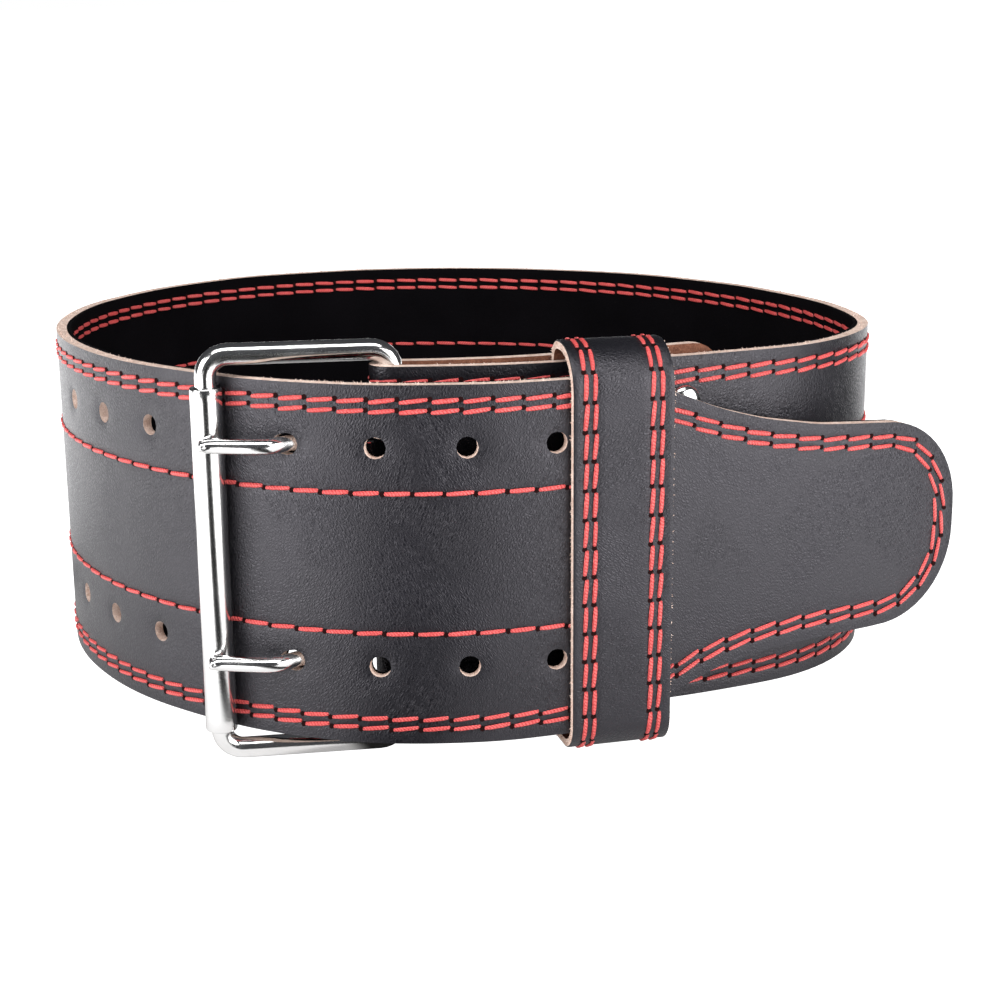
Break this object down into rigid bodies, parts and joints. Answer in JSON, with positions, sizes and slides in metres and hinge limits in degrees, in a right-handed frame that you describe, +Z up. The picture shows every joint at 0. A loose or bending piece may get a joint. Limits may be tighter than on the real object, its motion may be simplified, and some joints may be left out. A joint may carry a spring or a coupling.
{
  "type": "weightlifting belt",
  "caption": "Wide leather weightlifting belt buckled into a standing loop, with suede lining, stitched edges, keeper loop and a roller buckle with twin prongs.",
  "frame": {"origin": "middle of the base of the bounding box, on the surface that the belt stands on", "axes": "+X along the front of the belt, from the buckle to the tip of the tongue; +Y from the buckle to the back of the loop; +Z up, across the strap's width"},
  "size_m": [0.2788, 0.2498, 0.1192],
  "materials": {
    "strap_leather": "black full grain leather, soft sheen",
    "raw_edge": "undyed cut leather edge, matt and slightly fuzzy",
    "lining_suede": "black suede, matt nap",
    "nickel_plate": "bright nickel plate",
    "red_thread": "thick waxed red thread"
  },
  "bodies": {
    "belt": {"belt_strap": "strap_leather", "suede_lining": "lining_suede", "keeper_loop": "strap_leather", "buckle_frame": "nickel_plate", "prong_lower": "nickel_plate", "prong_upper": "nickel_plate", "rivet_lower": "nickel_plate", "rivet_upper": "nickel_plate"},
    "roller": {"roller": "nickel_plate"}
  },
  "joints": [
    {"name": "roller_spin", "type": "hinge", "parent": "belt", "child": "roller", "pos_m": [-0.07426, -0.11096, 0.05919], "axis": [0.028, 0.0383, 0.9989], "continuous": true}
  ]
}
